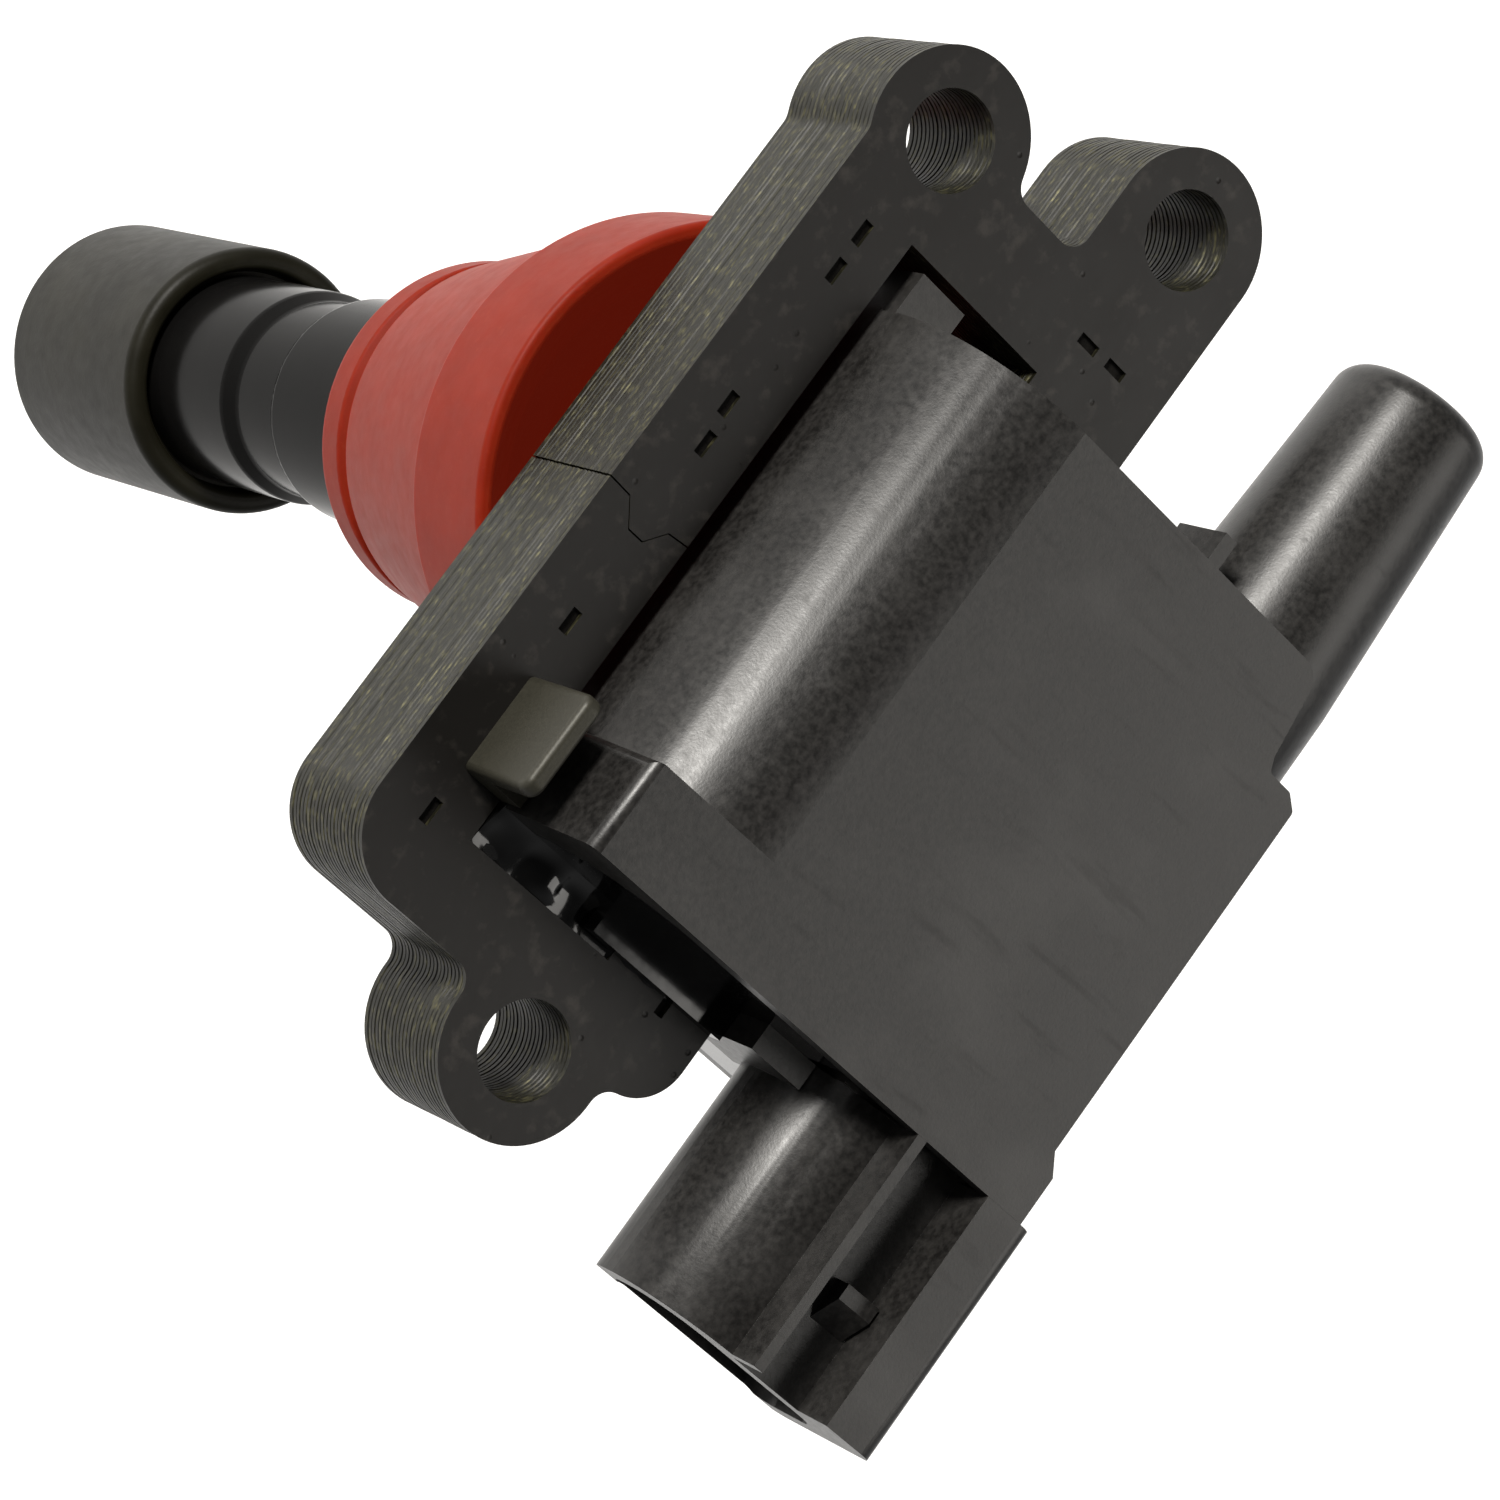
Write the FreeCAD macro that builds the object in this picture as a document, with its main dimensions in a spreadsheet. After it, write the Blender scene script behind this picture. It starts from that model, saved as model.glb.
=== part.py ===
import FreeCAD, Part

import math
import os

import Sketcher

# Ignition coil with a built-in igniter: a laminated core frame, a moulded coil case on its leg, a three-pin
# connector, a tapered high-voltage tower and a plug stem that ends in a rubber boot.
# Origin: centre of the boot's open end. +Z up the stem, +X towards the tower. Millimetres.

SIZES = {
    # plug stem, from the open end of the boot upwards
    "boot_radius": 10.85, "boot_height": 24.6, "boot_edge": 1.0, "boot_valley": 2.0,
    "socket_radius": 5.25, "socket_depth": 20.0,
    "sleeve_radius": 7.4, "stem_radius": 8.5, "waist_radius": 7.8, "waist_low": 38.5, "waist_high": 45.0,
    "waist_slope": 1.6, "shoulder_low": 66.5, "shoulder_high": 87.0, "shoulder_radius": 14.4,
    "bore_radius": 3.6, "bore_low": 22.4, "bore_high": 60.0, "stop_radius": 2.9, "rod_bore": 1.6,
    "nose_radius": 2.82, "nose_low": 20.2, "collar_radius": 3.52, "collar_height": 3.2,
    "spring_top": 40.0, "spring_radius": 2.55, "spring_wire": 0.7, "spring_pitch": 1.6,
    "resistor_radius": 3.3, "resistor_top": 58.0, "rod_radius": 1.4, "rod_top": 95.1,
    # red seal
    "seal_top": 100.6, "seal_rim": 19.1, "seal_edge": 18.8, "seal_step": 91.1, "seal_cone_top": 17.7,
    "seal_cone_bottom": 13.7, "seal_groove": 12.7, "seal_groove_z": 69.2, "seal_lip": 13.2,
    "seal_bottom": 64.3, "seal_rim_thick": 1.0, "dish_turn": 14.9, "dish_turn_z": 96.7, "dish_floor": 11.6,
    "dish_floor_z": 94.3, "dish_hole": 8.0, "seal_fit": 0.06,
    # laminated core
    "core_top": 113.9, "core_thick": 10.65, "core_right": -15.95, "core_left": 15.05,
    "core_back": -38.1, "core_front": 25.5, "window_back": -31.68, "window_front": 17.8,
    "window_right": -6.18, "window_left": 7.37, "core_corner": 5.5, "heel_round": 4.0,
    "ear_radius": 6.36, "hole_radius": 3.5, "ear_blend": 1.6,
    "ear_one_x": 24.78, "ear_one_y": 9.65, "ear_two_x": 32.13, "ear_two_y": -9.59,
    "ear_three_x": -39.79, "ear_three_y": -5.15,
    "seam_x": -7.7, "seam_gap": 0.12, "magnet_thick": 1.4, "stamp_depth": 0.35,
    "clip_length": 7.6, "clip_foot": 2.2, "clip_thick": 1.5,
    # coil case
    "case_top": 124.9, "case_bottom": 92.3, "case_back": -28.7, "case_front": 13.5, "case_left": 5.65,
    "case_right": -36.55, "case_wall": 1.5, "barrel_radius": 11.0, "flange_front": -21.7,
    "flange_left": 6.15, "flange_flare": 1.05, "flange_edge": 0.9, "nose_right": -32.2, "nose_back": 6.0,
    "tower_y": -33.35, "tower_z": 113.9, "tower_root": 7.1, "tower_tip": 6.05, "tower_back": 4.0,
    "tower_end": 36.4, "tower_round": 1.9, "tower_bore": 3.4, "tower_socket": 15.0,
    "cup_radius": 2.9, "cup_length": 3.0, "pin_radius": 1.5,
    "fin_off": 9.3, "fin_reach": 4.3, "fin_thick": 1.2, "fin_low": 113.4, "fin_height": 5.5,
    # connector
    "plug_end": -47.4, "plug_right": -39.2, "plug_left": -19.9, "plug_low": 110.4, "plug_shelf": 122.1,
    "plug_round": 7.2, "plug_wall": 1.6, "plug_floor": -31.5, "rib_one_y": -27.6, "rib_thick": 0.9,
    "slot_floor": 121.1, "slot_right": -34.2, "mouth_slant": 1.2, "slant_top": 112.6,
    "pin_wide": 1.8, "pin_thick": 0.7, "pin_pitch": 4.4, "pin_middle": -29.4,
    "root_length": 2.0, "foot_thick": 2.0, "foot_top": 119.0,
    "lock_back": 5.1, "lock_run": 3.4, "lock_width": 3.2, "lock_rise": 1.5,
    # windings, about the middle of the core's leg
    "wind_back": -25.8, "wind_front": 11.2, "bobbin_wall": 1.0, "leg_fit": 0.2,
    "primary_build": 1.9, "secondary_gap": 0.35, "flange_half": 13.4, "wire_half": 12.7,
    "section_pitch": 4.5, "section_flange": 1.0, "flange_round": 7.0, "wire_radius": 0.45,
}


class Size:
    """A length with its value and the spreadsheet formula that it comes from."""

    def __init__(self, value, formula):
        self.value = value
        self.formula = formula

    def join(self, other, sign, swap=False):
        other = as_size(other)
        first, second = (other, self) if swap else (self, other)
        results = {
            "+": lambda a, b: a + b,
            "-": lambda a, b: a - b,
            "*": lambda a, b: a * b,
            "/": lambda a, b: a / b,
        }
        formula = "(" + first.formula + " " + sign + " " + second.formula + ")"
        return Size(results[sign](first.value, second.value), formula)

    def __add__(self, other):
        return self.join(other, "+")

    def __radd__(self, other):
        return self.join(other, "+", True)

    def __sub__(self, other):
        return self.join(other, "-")

    def __rsub__(self, other):
        return self.join(other, "-", True)

    def __mul__(self, other):
        return self.join(other, "*")

    def __rmul__(self, other):
        return self.join(other, "*", True)

    def __truediv__(self, other):
        return self.join(other, "/")

    def __neg__(self):
        return self.join(-1.0, "*")


def as_size(number):
    if isinstance(number, Size):
        return number
    return Size(float(number), repr(round(float(number), 4)))


class Dims:
    """Every driving dimension by name, as a Size that points at the sheet."""

    def __init__(self, sizes):
        for name, value in sizes.items():
            setattr(self, name, Size(value, "dims." + name))


doc = FreeCAD.newDocument("ignition_coil")
sheet = doc.addObject("Spreadsheet::Sheet", "dims")
for row, (alias, number) in enumerate(SIZES.items(), start=1):
    sheet.set("A" + str(row), alias)
    sheet.set("B" + str(row), str(number))
    sheet.setAlias("B" + str(row), alias)
doc.recompute()
D = Dims(SIZES)
parts = []


# ---- small builders -------------------------------------------------------------------------------------
def bind(thing, name, size):
    """Set a property from a size, by formula."""
    size = as_size(size)
    setattr(thing, name, size.value)
    thing.setExpression(name, size.formula)


def new_body(label):
    body = doc.addObject("PartDesign::Body", label)
    body.Label = label
    body.AllowCompound = True
    return body


def keep(thing, label):
    """Name a finished sub-part and put it on the list to write."""
    thing.Label = label
    parts.append(thing)
    return thing


def new_sketch(body, plane, offset, shift=(0.0, 0.0)):
    """A sketch on one of the body's origin planes: shift moves it in that plane, offset off it."""
    sketch = body.newObject("Sketcher::SketchObject", body.Name + "_sketch")
    origin = [f for f in body.Origin.OriginFeatures if f.Role == plane][0]
    sketch.AttachmentSupport = [(origin, "")]
    sketch.MapMode = "FlatFace"
    moves = [as_size(size) for size in (shift[0], shift[1], offset)]
    place = FreeCAD.Vector(*[size.value for size in moves])
    sketch.AttachmentOffset = FreeCAD.Placement(place, FreeCAD.Rotation())
    for letter, size in zip("xyz", moves):
        sketch.setExpression("AttachmentOffset.Base." + letter, size.formula)
    return sketch


def pin_point(sketch, edge, end, x, y):
    """Hold one end of an edge at x, y from the sketch's origin, by formula."""
    for kind, size in (("DistanceX", x), ("DistanceY", y)):
        size = as_size(size)
        index = sketch.addConstraint(Sketcher.Constraint(kind, -1, 1, edge, end, size.value))
        sketch.setExpression("Constraints[" + str(index) + "]", size.formula)


def polygon(body, plane, points, offset=0.0, shift=(0.0, 0.0)):
    """A closed outline of straight edges through the points."""
    sketch = new_sketch(body, plane, offset, shift)
    places = [FreeCAD.Vector(as_size(x).value, as_size(y).value, 0) for x, y in points]
    for place, after in zip(places, places[1:] + places[:1]):
        sketch.addGeometry(Part.LineSegment(place, after), False)
    count = len(points)
    for edge in range(count):
        sketch.addConstraint(Sketcher.Constraint("Coincident", edge, 2, (edge + 1) % count, 1))
    for edge, (x, y) in enumerate(points):
        pin_point(sketch, edge, 1, x, y)
    return sketch


def rectangle(body, plane, low, high, offset=0.0):
    points = [low, (high[0], low[1]), high, (low[0], high[1])]
    return polygon(body, plane, points, offset)


def circles(body, plane, rings, offset=0.0):
    """Circles, each given as x, y, radius."""
    sketch = new_sketch(body, plane, offset)
    for edge, (x, y, radius) in enumerate(rings):
        x, y, radius = as_size(x), as_size(y), as_size(radius)
        centre = FreeCAD.Vector(x.value, y.value, 0)
        sketch.addGeometry(Part.Circle(centre, FreeCAD.Vector(0, 0, 1), radius.value), False)
        pin_point(sketch, edge, 3, x, y)
        index = sketch.addConstraint(Sketcher.Constraint("Radius", edge, radius.value))
        sketch.setExpression("Constraints[" + str(index) + "]", radius.formula)
    return sketch


def feature(body, kind, sketch, length, backwards=False):
    """A pad or pocket of a sketch, along the sketch's normal or against it."""
    item = body.newObject("PartDesign::" + kind, body.Name + "_" + kind.lower())
    item.Profile = sketch
    bind(item, "Length", length)
    item.Reversed = backwards
    doc.recompute()
    return item


def pad(body, sketch, length, backwards=False):
    return feature(body, "Pad", sketch, length, backwards)


def pocket(body, sketch, length, backwards=False):
    """Cut a sketch out of the body, and stop if nothing went."""
    before = body.Shape.Volume
    item = feature(body, "Pocket", sketch, length, backwards)
    if body.Shape.Volume > before - 1e-6:
        raise RuntimeError(body.Label + ": a pocket cut nothing")
    return item


def turned(label, points):
    """A body turned about Z from a profile of radius, height points."""
    body = new_body(label)
    sketch = polygon(body, "XZ_Plane", points)
    item = body.newObject("PartDesign::Revolution", label + "_turn")
    item.Profile = sketch
    item.ReferenceAxis = (sketch, ["V_Axis"])
    item.Angle = 360.0
    doc.recompute()
    return body


def dress(body, kind, edges, size):
    """Fillet or chamfer the named edges of the body's last feature."""
    item = body.newObject("PartDesign::" + kind, body.Name + "_" + kind.lower())
    item.Base = (body.Tip if body.Tip is not item else item.BaseFeature, edges)
    bind(item, "Radius" if kind == "Fillet" else "Size", size)
    doc.recompute()
    if not edges or not item.isValid():
        raise RuntimeError(body.Label + ": " + kind + " of " + str(edges) + " failed")
    return item


def edges_where(body, test):
    """Names of the edges whose ends and middle pass the test."""
    names = []
    for number, edge in enumerate(body.Shape.Edges, start=1):
        if edge.Length > 1e-3 and test(edge):
            names.append("Edge" + str(number))
    return names


def middle(edge):
    low, high = edge.ParameterRange
    return edge.valueAt((low + high) / 2)


def is_upright(edge):
    box = edge.BoundBox
    return box.XLength < 1e-4 and box.YLength < 1e-4


def upright_near(body, spots, reach=0.5):
    """Upright edges at the given x, y places."""
    def test(edge):
        if not is_upright(edge):
            return False
        spot = middle(edge)
        return any(math.hypot(spot.x - x, spot.y - y) < reach for x, y in spots)
    return edges_where(body, test)


def lengthwise_near(body, spots, reach=0.5):
    """Edges along X at the given y, z places."""
    def test(edge):
        box = edge.BoundBox
        if box.YLength > 1e-4 or box.ZLength > 1e-4:
            return False
        spot = middle(edge)
        return any(math.hypot(spot.y - y, spot.z - z) < reach for y, z in spots)
    return edges_where(body, test)


def ring_near(body, spots, reach=0.05):
    """Circular edges about Z with the given radius, height."""
    def test(edge):
        box = edge.BoundBox
        if box.ZLength > 1e-4 or box.XLength < 1e-3:
            return False
        radius = box.XMax
        return any(math.hypot(radius - r, box.ZMin - z) < reach for r, z in rings)

    rings = [(as_size(r).value, as_size(z).value) for r, z in spots]
    return edges_where(body, test)


def primitive(kind, label, sizes, place=(0.0, 0.0, 0.0), turn=None):
    """A Part primitive with its sizes and place set by formula."""
    item = doc.addObject("Part::" + kind, label)
    item.Label = label
    for name, size in sizes.items():
        bind(item, name, size)
    moves = [as_size(size) for size in place]
    item.Placement = FreeCAD.Placement(FreeCAD.Vector(*[m.value for m in moves]), turn or FreeCAD.Rotation())
    for letter, size in zip("xyz", moves):
        item.setExpression("Placement.Base." + letter, size.formula)
    return item


def block(label, low, high):
    """A box between two corners."""
    spans = {"Length": high[0] - low[0], "Width": high[1] - low[1], "Height": high[2] - low[2]}
    return primitive("Box", label, spans, low)


def rod(label, radius, length, place, turn=None):
    return primitive("Cylinder", label, {"Radius": radius, "Height": length}, place, turn)


def fused(label, shapes):
    item = doc.addObject("Part::MultiFuse", label)
    item.Label = label
    item.Shapes = shapes
    return item


def cut(label, base, tool):
    item = doc.addObject("Part::Cut", label)
    item.Label = label
    item.Base = base
    item.Tool = tool
    return item


ALONG_X = FreeCAD.Rotation(FreeCAD.Vector(0, 1, 0), 90)
ALONG_Y = FreeCAD.Rotation(FreeCAD.Vector(1, 0, 0), -90)
ZERO = Size(0.0, "0")

LEG_Y = (D.core_right + D.window_right) / 2
LEG_Z = D.core_top - D.core_thick / 2
LEG_HALF_Y = (D.window_right - D.core_right) / 2
LEG_HALF_Z = D.core_thick / 2
CORE_BOTTOM = D.core_top - D.core_thick


# ---- plug stem ------------------------------------------------------------------------------------------
def make_plug_boot():
    """Rubber boot: a plug socket below, a sleeve for the stem above, a valley round the stem on top."""
    seat = D.boot_height - D.boot_valley
    points = [
        (D.socket_radius, 0.0),
        (D.boot_radius, 0.0),
        (D.boot_radius, D.boot_height),
        (D.stem_radius + 0.6, D.boot_height - 0.2),
        (D.stem_radius + 0.3, seat),
        (D.sleeve_radius, seat),
        (D.sleeve_radius, D.socket_depth),
        (D.socket_radius, D.socket_depth),
    ]
    body = turned("plug_boot", points)
    dress(body, "Fillet", ring_near(body, points[1:3]), D.boot_edge)
    dress(body, "Fillet", ring_near(body, points[3:4]), 0.5)
    keep(body, "plug_boot")


def make_stem_tube():
    """Glossy tube from the case down into the boot, with a waist and a flared shoulder."""
    seat = D.boot_height - D.boot_valley
    neck = D.stem_radius + 0.3
    points = [
        (D.stop_radius, D.socket_depth),
        (D.sleeve_radius, D.socket_depth),
        (D.sleeve_radius, seat),
        (D.stem_radius, seat),
        (D.stem_radius, D.waist_low - D.waist_slope),
        (D.waist_radius, D.waist_low),
        (D.waist_radius, D.waist_high),
        (neck, D.waist_high + D.waist_slope),
        (neck, D.shoulder_low),
        (D.shoulder_radius, D.shoulder_high),
        (D.shoulder_radius, D.case_bottom),
        (D.rod_bore, D.case_bottom),
        (D.rod_bore, D.bore_high),
        (D.bore_radius, D.bore_high),
        (D.bore_radius, D.bore_low),
        (D.stop_radius, D.bore_low),
    ]
    body = turned("stem_tube", points)
    rings = ring_near(body, [points[4], points[5], points[6], points[7]])
    dress(body, "Fillet", rings, 1.2)
    keep(body, "stem_tube")


def make_plug_contact():
    """Brass contact that slides up the stem's bore: nose through the stop, collar above it, spring peg."""
    collar_low = D.bore_low + 0.03
    collar_high = collar_low + D.collar_height
    points = [
        (1.2, D.nose_low + 1.4),
        (1.9, D.nose_low),
        (D.nose_radius - 0.3, D.nose_low),
        (D.nose_radius, D.nose_low + 0.4),
        (D.nose_radius, collar_low),
        (D.collar_radius, collar_low),
        (D.collar_radius, collar_high),
        (1.7, collar_high),
        (1.5, collar_high + 1.8),
        (0.0, collar_high + 1.8),
        (0.0, D.nose_low + 1.4),
    ]
    keep(turned("plug_contact", points), "plug_contact")


def make_contact_spring():
    """Coil spring between the contact's collar and the resistor."""
    low = D.bore_low + D.collar_height + 0.05 + D.spring_wire / 2
    high = D.spring_top - D.spring_wire / 2 - 0.02
    helix = primitive(
        "Helix",
        "spring_line",
        {"Pitch": D.spring_pitch, "Height": high - low, "Radius": D.spring_radius},
        (0.0, 0.0, low),
    )
    section = primitive(
        "Circle",
        "spring_section",
        {"Radius": D.spring_wire / 2},
        (D.spring_radius, 0.0, low),
        FreeCAD.Rotation(FreeCAD.Vector(1, 0, 0), 90),
    )
    doc.recompute()
    sweep = doc.addObject("Part::Sweep", "contact_spring")
    sweep.Sections = [section]
    sweep.Spine = (helix, ["Edge1"])
    sweep.Solid = True
    sweep.Frenet = True
    keep(sweep, "contact_spring")


def make_resistor():
    """Ceramic suppressor rod in the stem's bore."""
    end = 0.5
    points = [
        (0.0, D.spring_top),
        (D.resistor_radius - end, D.spring_top),
        (D.resistor_radius, D.spring_top + end),
        (D.resistor_radius, D.resistor_top - end),
        (D.resistor_radius - end, D.resistor_top),
        (0.0, D.resistor_top),
    ]
    keep(turned("suppressor_resistor", points), "suppressor_resistor")


def make_stem_terminal():
    """Brass rod from the resistor up into the case."""
    points = [
        (0.0, D.resistor_top),
        (D.resistor_radius, D.resistor_top),
        (D.resistor_radius, D.bore_high - 0.05),
        (D.rod_radius, D.bore_high - 0.05),
        (D.rod_radius, D.rod_top),
        (0.0, D.rod_top),
    ]
    keep(turned("stem_terminal", points), "stem_terminal")


def make_well_seal():
    """Silicone seal: lip, groove, cone on the stem's shoulder, and a dished bell cut away round the case."""
    fit = D.seal_fit
    neck = D.stem_radius + 0.3 + fit
    shoulder = D.shoulder_radius + fit
    underside = D.case_bottom + fit
    points = [
        (neck, D.seal_bottom),
        (D.seal_lip, D.seal_bottom),
        (D.seal_lip + 0.2, D.seal_groove_z - 1.5),
        (D.seal_groove, D.seal_groove_z - 1.1),
        (D.seal_groove, D.seal_groove_z),
        (D.seal_cone_bottom, D.seal_groove_z + 0.5),
        (D.seal_cone_top, D.seal_step - 1.4),
        (D.seal_edge, D.seal_step - 0.6),
        (D.seal_rim, D.seal_top),
        (D.seal_rim - D.seal_rim_thick, D.seal_top),
        (D.dish_turn, D.dish_turn_z),
        (D.dish_floor, D.dish_floor_z),
        (D.dish_hole, D.dish_floor_z - 0.3),
        (D.dish_hole, underside),
        (shoulder, underside),
        (shoulder, D.shoulder_high - fit),
        (neck, D.shoulder_low - fit),
    ]
    body = turned("well_seal", points)
    dress(body, "Fillet", ring_near(body, points[1:2]), 0.8)
    dress(body, "Fillet", ring_near(body, points[2:6]), 0.3)
    dress(body, "Fillet", ring_near(body, points[6:8]), 0.5)
    dress(body, "Fillet", ring_near(body, points[8:10]), 0.45)
    dress(body, "Fillet", ring_near(body, points[10:12]), 2.0)
    room = 0.3
    low = (D.case_back - room, D.case_right - room)
    high = (D.case_front + room, D.case_left + room)
    around = rectangle(body, "XY_Plane", low, high, D.case_bottom - fit)
    pocket(body, around, D.seal_top - D.case_bottom + 1.0, True)
    keep(body, "well_seal")


# ---- laminated core -------------------------------------------------------------------------------------
def seam(side):
    """The toothed joint across the left bar, from the outside in, one half a gap from the other."""
    move = D.seam_x + side * D.seam_gap / 2
    return [
        (move, D.core_left),
        (move - 0.1, D.core_left - 2.0),
        (move - 1.8, D.core_left - 3.4),
        (move - 1.8, D.core_left - 4.75),
        (move - 0.2, D.core_left - 5.95),
        (move, D.window_left),
    ]


def add_ear(body, x, y, neck_low=None, neck_high=None):
    """A round ear, joined to the plate by a neck where it stands off."""
    pad(body, circles(body, "XY_Plane", [(x, y, D.ear_radius)], CORE_BOTTOM), D.core_thick)
    if neck_low is not None:
        pad(body, rectangle(body, "XY_Plane", neck_low, neck_high, CORE_BOTTOM), D.core_thick)


def add_stamps(body, spots, half_x=0.9, half_y=0.4):
    """Shallow pressed marks that lock the laminations together."""
    for x, y in spots:
        mark = rectangle(body, "XY_Plane", (x - half_x, y - half_y), (x + half_x, y + half_y), D.core_top)
        pocket(body, mark, D.stamp_depth)


def make_core_upper():
    """The tower end of the core, with two ears."""
    body = new_body("core_upper")
    leg_end = D.seam_x + D.magnet_thick / 2
    points = seam(1.0)[:1] + [
        (D.core_front, D.core_left),
        (D.core_front, D.core_right),
        (leg_end, D.core_right),
        (leg_end, D.window_right),
        (D.window_front, D.window_right),
        (D.window_front, D.window_left),
    ] + seam(1.0)[:0:-1]
    pad(body, polygon(body, "XY_Plane", points, CORE_BOTTOM), D.core_thick)
    add_ear(body, D.ear_one_x, D.ear_one_y)
    neck_low = (D.core_front - 1.0, D.ear_two_y - D.ear_radius)
    add_ear(body, D.ear_two_x, D.ear_two_y, neck_low, (D.ear_two_x, D.ear_two_y + D.ear_radius))
    radius = D.ear_radius.value
    up = D.core_left.value - D.ear_one_y.value
    out = D.core_front.value - D.ear_one_x.value
    corners = [
        (D.ear_one_x.value - math.sqrt(radius ** 2 - up ** 2), D.core_left.value),
        (D.core_front.value, D.ear_one_y.value - math.sqrt(radius ** 2 - out ** 2)),
        (D.core_front.value, D.ear_two_y.value + radius),
    ]
    dress(body, "Fillet", upright_near(body, corners, 0.3), D.ear_blend)
    holes = [(D.ear_one_x, D.ear_one_y, D.hole_radius), (D.ear_two_x, D.ear_two_y, D.hole_radius)]
    pocket(body, circles(body, "XY_Plane", holes, D.core_top), D.core_thick)
    add_stamps(body, [(15.9, 10.85), (12.8, 10.75), (1.2, 11.25), (-1.8, 10.85)])
    add_stamps(body, [(21.8, -8.15), (21.9, -11.05)], 0.4, 0.9)
    keep(body, "core_upper")


def make_core_lower():
    """The connector end of the core, with one ear and a rounded heel."""
    body = new_body("core_lower")
    leg_end = D.seam_x - D.magnet_thick / 2
    points = seam(-1.0) + [
        (D.window_back, D.window_left),
        (D.window_back, D.window_right),
        (leg_end, D.window_right),
        (leg_end, D.core_right),
        (D.core_back, D.core_right),
        (D.core_back, D.core_left),
    ]
    pad(body, polygon(body, "XY_Plane", points, CORE_BOTTOM), D.core_thick)
    corner = upright_near(body, [(D.core_back.value, D.core_left.value)])
    dress(body, "Fillet", corner, D.core_corner)
    heel = upright_near(body, [(D.core_back.value, D.core_right.value)])
    dress(body, "Fillet", heel, D.heel_round)
    add_ear(body, D.ear_three_x, D.ear_three_y)
    side = math.sqrt(D.ear_radius.value ** 2 - (D.core_back.value - D.ear_three_x.value) ** 2)
    spots = [(D.core_back.value, D.ear_three_y.value + side), (D.core_back.value, D.ear_three_y.value - side)]
    dress(body, "Fillet", upright_near(body, spots, 0.4), D.ear_blend)
    hole = [(D.ear_three_x, D.ear_three_y, D.hole_radius)]
    pocket(body, circles(body, "XY_Plane", hole, D.core_top), D.core_thick)
    add_stamps(body, [(-16.6, 11.05), (-31.9, 10.95), (-31.4, -11.75)])
    keep(body, "core_lower")


def make_core_magnet():
    """Bias magnet in the gap of the leg."""
    half = D.magnet_thick / 2
    low = (D.seam_x - half, D.core_right, CORE_BOTTOM)
    high = (D.seam_x + half, D.window_right, D.core_top)
    keep(block("core_magnet", low, high), "core_magnet")


def make_core_clip():
    """Clip that stands on the left bar, with its foot against the case's flange."""
    body = new_body("core_clip")
    top = D.core_top + 8.0
    inner = D.flange_left + D.flange_flare + 0.05
    face = inner + D.clip_foot
    outer = face + D.clip_thick
    points = [(inner, D.core_top), (outer, D.core_top), (outer, top), (face, top), (face, D.core_top + 2.6),
              (inner, D.core_top + 2.6)]
    pad(body, polygon(body, "YZ_Plane", points, D.case_back + 0.3), D.clip_length)

    def is_top_corner(edge):
        box = edge.BoundBox
        return box.XLength < 1e-4 and box.ZLength < 1e-4 and abs(box.ZMin - top.value) < 1e-4

    dress(body, "Fillet", edges_where(body, is_top_corner), 1.0)
    ends = [(outer.value, top.value), (face.value, top.value)]
    dress(body, "Fillet", lengthwise_near(body, ends), 0.5)
    keep(body, "core_clip")


# ---- windings -------------------------------------------------------------------------------------------
def sleeve(body, back, front, half_y, half_z, rounding=None):
    """A block along X about the middle of the leg, with its long edges rounded."""
    low = (LEG_Y - half_y, LEG_Z - half_z)
    high = (LEG_Y + half_y, LEG_Z + half_z)
    item = pad(body, rectangle(body, "YZ_Plane", low, high, back), front - back)
    if rounding is not None:
        spots = [(y.value, z.value) for y in (low[0], high[0]) for z in (low[1], high[1])]
        item = dress(body, "Fillet", lengthwise_near(body, spots, 0.05), rounding)
    return item


def bore_out(body, back, front, half_y, half_z):
    """A square-cornered tunnel along X about the middle of the leg."""
    low = (LEG_Y - half_y, LEG_Z - half_z)
    high = (LEG_Y + half_y, LEG_Z + half_z)
    pocket(body, rectangle(body, "YZ_Plane", low, high, front), front - back)


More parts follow.
